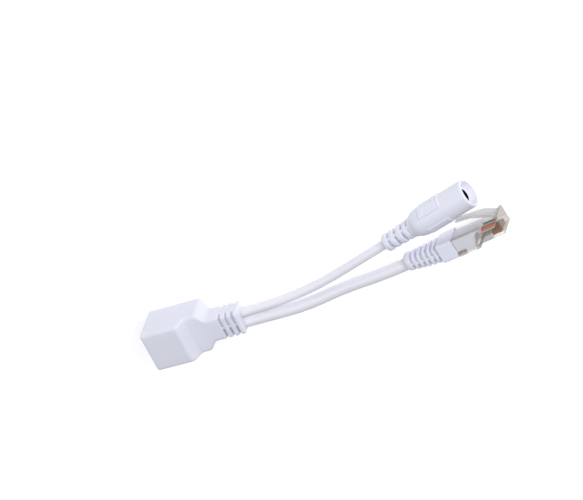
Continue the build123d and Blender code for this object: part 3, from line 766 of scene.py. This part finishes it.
RELIEF_RIB_DIP = 0.12
RELIEF_SLEEVE = 2.4
RELIEF_END = 12.2
FRONT_GROOVE_STATIONS = ((12.35, 0), (12.5, 0.35), (12.6, 1), (13.15, 1), (13.3, 0.1))     # (x, share)
FRONT_GROOVE_DEPTH = 0.9
FADING_GROOVE_DEPTH = 0.75
BODY_START = 13.5
BODY_STEP = 0.25
BARREL_STEP = 0.8
PAD_MIDDLES = (97.0, 279.0)
PAD_HALF = 62.5
PAD_START = 20.4
PAD_END = 31.0
PAD_PROUD = 0.3
PAD_END_RUN = 0.3
PAD_MARGIN = 0.9
PAD_MARGIN_TURN = 9
PAD_RIB_PITCH = 0.775
PAD_RIB_DEPTH = 0.2
PAD_STEP = 0.0775


def nearest_turn(angle, goals):
    """Degrees from an angle to the nearest of the goals."""
    return min(abs((angle - goal + 180) % 360 - 180) for goal in goals)


def jack_angles():
    """Angles round the jack, with pairs at the edges of the pads and of the ribs."""
    angles = {float(angle) for angle in range(0, 360, 4)}
    for middles, half in ((PAD_MIDDLES, PAD_HALF), (RELIEF_RIBS, RELIEF_RIB_HALF)):
        for middle in middles:
            for edge in (-half, half):
                angles |= {(middle + edge - 1.0) % 360, (middle + edge + 1.0) % 360}
    return sorted(angles)


JACK_ANGLES = jack_angles()


def pad_height(x, angle):
    """How far a grip pad stands out here, with its cross ribs."""
    if not PAD_START <= x <= PAD_END or nearest_turn(angle, PAD_MIDDLES) > PAD_HALF:
        return 0.0
    from_end = min(x - PAD_START, PAD_END - x)
    margin = nearest_turn(angle, PAD_MIDDLES) > PAD_HALF - PAD_MARGIN_TURN or from_end < PAD_MARGIN
    ribs = 0.0 if margin else PAD_RIB_DEPTH * (0.5 - 0.5 * math.cos(2 * math.pi * x / PAD_RIB_PITCH))
    return (PAD_PROUD - ribs) * min(from_end / PAD_END_RUN, 1.0)


def front_groove_depth(angle):
    """The groove before the body is even on one side of the ribs, and fades away on the other."""
    if nearest_turn(angle, RELIEF_RIBS) < RELIEF_RIB_HALF:
        return 0.0
    if RELIEF_RIBS[0] < angle < RELIEF_RIBS[1]:
        return FRONT_GROOVE_DEPTH
    return FADING_GROOVE_DEPTH * max(0.25, 1 - nearest_turn(angle, RELIEF_RIBS) / 60)


def jack_ring(x, edge_inset=0.0, depth=0.0, inset=0.0, front=False):
    """A section of the jack. Front is for the groove before the body, which is shaped on its own."""
    ring = []
    for angle in JACK_ANGLES:
        radius = eased_line(JACK_RADII, x) - inset
        if front:
            radius -= front_groove_depth(angle) * depth
        elif nearest_turn(angle, RELIEF_RIBS) > RELIEF_RIB_HALF:
            radius = RELIEF_SLEEVE if depth else radius - edge_inset
        else:
            radius -= min(edge_inset, RELIEF_RIB_DIP)
        radius += pad_height(x, angle)
        turn = math.radians(angle)
        ring.append((x, radius * math.sin(turn), radius * math.cos(turn)))
    return ring


def round_ring(x, radius):
    """A plain circle about the jack's axis."""
    turns = [math.radians(angle) for angle in JACK_ANGLES]
    return [(x, radius * math.sin(turn), radius * math.cos(turn)) for turn in turns]


def stepped(start, end, step):
    """Even values from start to end, about a step apart."""
    count = max(1, round((end - start) / step))
    return [start + (end - start) * index / count for index in range(count + 1)]


def jack_rings():
    """The jack, from its rounded rear end round the mouth's rim to the pocket of the insulator."""
    rings = []
    for sine, fall in quarter_circle(5):
        rings.append(jack_ring(REAR_ROUNDING * fall, inset=REAR_ROUNDING * (1 - sine)))
    starts = [RELIEF_GROOVE_START + RELIEF_GROOVE_PITCH * index for index in range(RELIEF_GROOVES)]
    grooves = [groove_stations(start, start + RELIEF_GROOVE_WIDTH, RELIEF_GROOVE_EASE) for start in starts]
    for x, edge_inset, depth in with_plain_stations(grooves, 1.1, RELIEF_END, RELIEF_STEP):
        rings.append(jack_ring(x, edge_inset, depth))
    for x, depth in FRONT_GROOVE_STATIONS:
        rings.append(jack_ring(x, depth=depth, front=True))
    body = stepped(BODY_START, PAD_START - 0.01, BODY_STEP) + stepped(PAD_START, PAD_END, PAD_STEP)
    body += stepped(PAD_END + 0.01, JACK_LENGTH - 1.0, BARREL_STEP)
    rings += [jack_ring(x) for x in body]
    for sine, fall in quarter_circle(7):
        rings.append(round_ring(JACK_LENGTH - JACK_RIM * (1 - sine), JACK_RADIUS - JACK_RIM * fall))
    for sine, fall in quarter_circle(5):
        radius = JACK_RECESS_RADIUS + JACK_LIP * (1 - sine)
        rings.append(round_ring(JACK_LENGTH - JACK_LIP * fall, radius))
    rings += [round_ring(*spot) for spot in POCKET_PROFILE]
    return rings


jack = skin("dc_jack_skin", jack_rings(), JACK_PLACE, WHITE_PVC, "jack_overmould")

# The insulator's floor closes the recess, with a fine lip round the hole, whose inside is painted near
# black as painted shade.
INSULATOR_REAR = 23.6
HOLE_RADIUS = 2.8
HOLE_DEPTH = 9.5
FLOOR_PROFILE = [
    (INSULATOR_REAR, 1.0), (INSULATOR_REAR, JACK_POCKET_RADIUS - 0.1),
    (JACK_FLOOR - 0.1, JACK_POCKET_RADIUS - 0.1), (JACK_FLOOR - 0.1, JACK_FLOOR_RADIUS),
    (JACK_FLOOR, JACK_FLOOR_RADIUS), (JACK_FLOOR, 3.1), (JACK_FLOOR + 0.1, 3.05),
    (JACK_FLOOR + 0.1, HOLE_RADIUS + 0.06), (JACK_FLOOR, HOLE_RADIUS),
]
HOLE_PROFILE = [
    (JACK_FLOOR - 0.15, HOLE_RADIUS), (JACK_FLOOR - HOLE_DEPTH, HOLE_RADIUS),
    (JACK_FLOOR - HOLE_DEPTH, 1.0),
]


def paint_shade_in_hole(piece):
    """Paints shade into the hole: its inside wall gets the near-black painted shade."""
    piece.data.materials.append(HOLE_PAINTED_SHADE)
    back = JACK_PLACE.inverted()
    for face in piece.data.polygons:
        spot = back @ (Vector(face.center) / MM)
        if spot.x < JACK_FLOOR - 0.05 and math.hypot(spot.y, spot.z) < HOLE_RADIUS + 0.02:
            face.material_index = 1


insert = skin(
    "jack_insulator", [round_ring(*spot) for spot in FLOOR_PROFILE + HOLE_PROFILE], JACK_PLACE,
    INSULATOR, "jack_insert",
)
paint_shade_in_hole(insert)


# ---- Table and light. Lengths are in metres here, and powers in watts.

FLOOR_HALF_SIZE = 3.0
FLOOR_DROP = 0.0001
FLOOR_COLOUR = (0.42, 0.42, 0.43)
FLOOR_GLOW = 0.72
WORLD_COLOUR = (0.95, 0.96, 1.0)
WORLD_STRENGTH = 0.17
LIGHT_AIM = (0.06, 0.0, 0.01)
LIGHT_SIZE = 0.4
LIGHT_COLOUR = (0.97, 0.98, 1.0)
LIGHTS = {
    "key_light": ((0.75, 0.443, 0.382), 3.4),
    "top_light": ((0.515, 0.182, 0.765), 2.6),
    "back_light": ((-0.395, 0.273, 0.737), 2.7),
}


def make_floor():
    """A pale floor with a glow of its own, just below the part."""
    mesh = bpy.data.meshes.new("floor")
    corners = ((-1, -1), (1, -1), (1, 1), (-1, 1))
    mesh.from_pydata([(x * FLOOR_HALF_SIZE, y * FLOOR_HALF_SIZE, 0) for x, y in corners], [], [range(4)])
    mesh.materials.append(plain_material(
        "pale_floor", FLOOR_COLOUR, 0.8, Emission_Color=(1.0, 1.0, 1.0, 1.0), Emission_Strength=FLOOR_GLOW,
    ))
    floor = bpy.data.objects.new("floor", mesh)
    bpy.context.scene.collection.objects.link(floor)
    floor.location.z = -FLOOR_DROP


def make_light(name, spot, power):
    """A soft square light that faces the part."""
    data = bpy.data.lights.new(name, "AREA")
    data.size = LIGHT_SIZE
    data.energy = power
    data.color = LIGHT_COLOUR
    light = bpy.data.objects.new(name, data)
    bpy.context.scene.collection.objects.link(light)
    light.location = spot
    light.rotation_mode = "QUATERNION"
    light.rotation_quaternion = (Vector(LIGHT_AIM) - Vector(spot)).to_track_quat("-Z", "Y")


def make_world():
    """A dim even light from all round."""
    world = bpy.data.worlds.new("studio")
    world.use_nodes = True
    background = world.node_tree.nodes["Background"]
    background.inputs["Color"].default_value = (*WORLD_COLOUR, 1.0)
    background.inputs["Strength"].default_value = WORLD_STRENGTH
    bpy.context.scene.world = world


make_floor()
make_world()
for name, (spot, power) in LIGHTS.items():
    make_light(name, spot, power)
bpy.context.scene.view_settings.view_transform = "Standard"
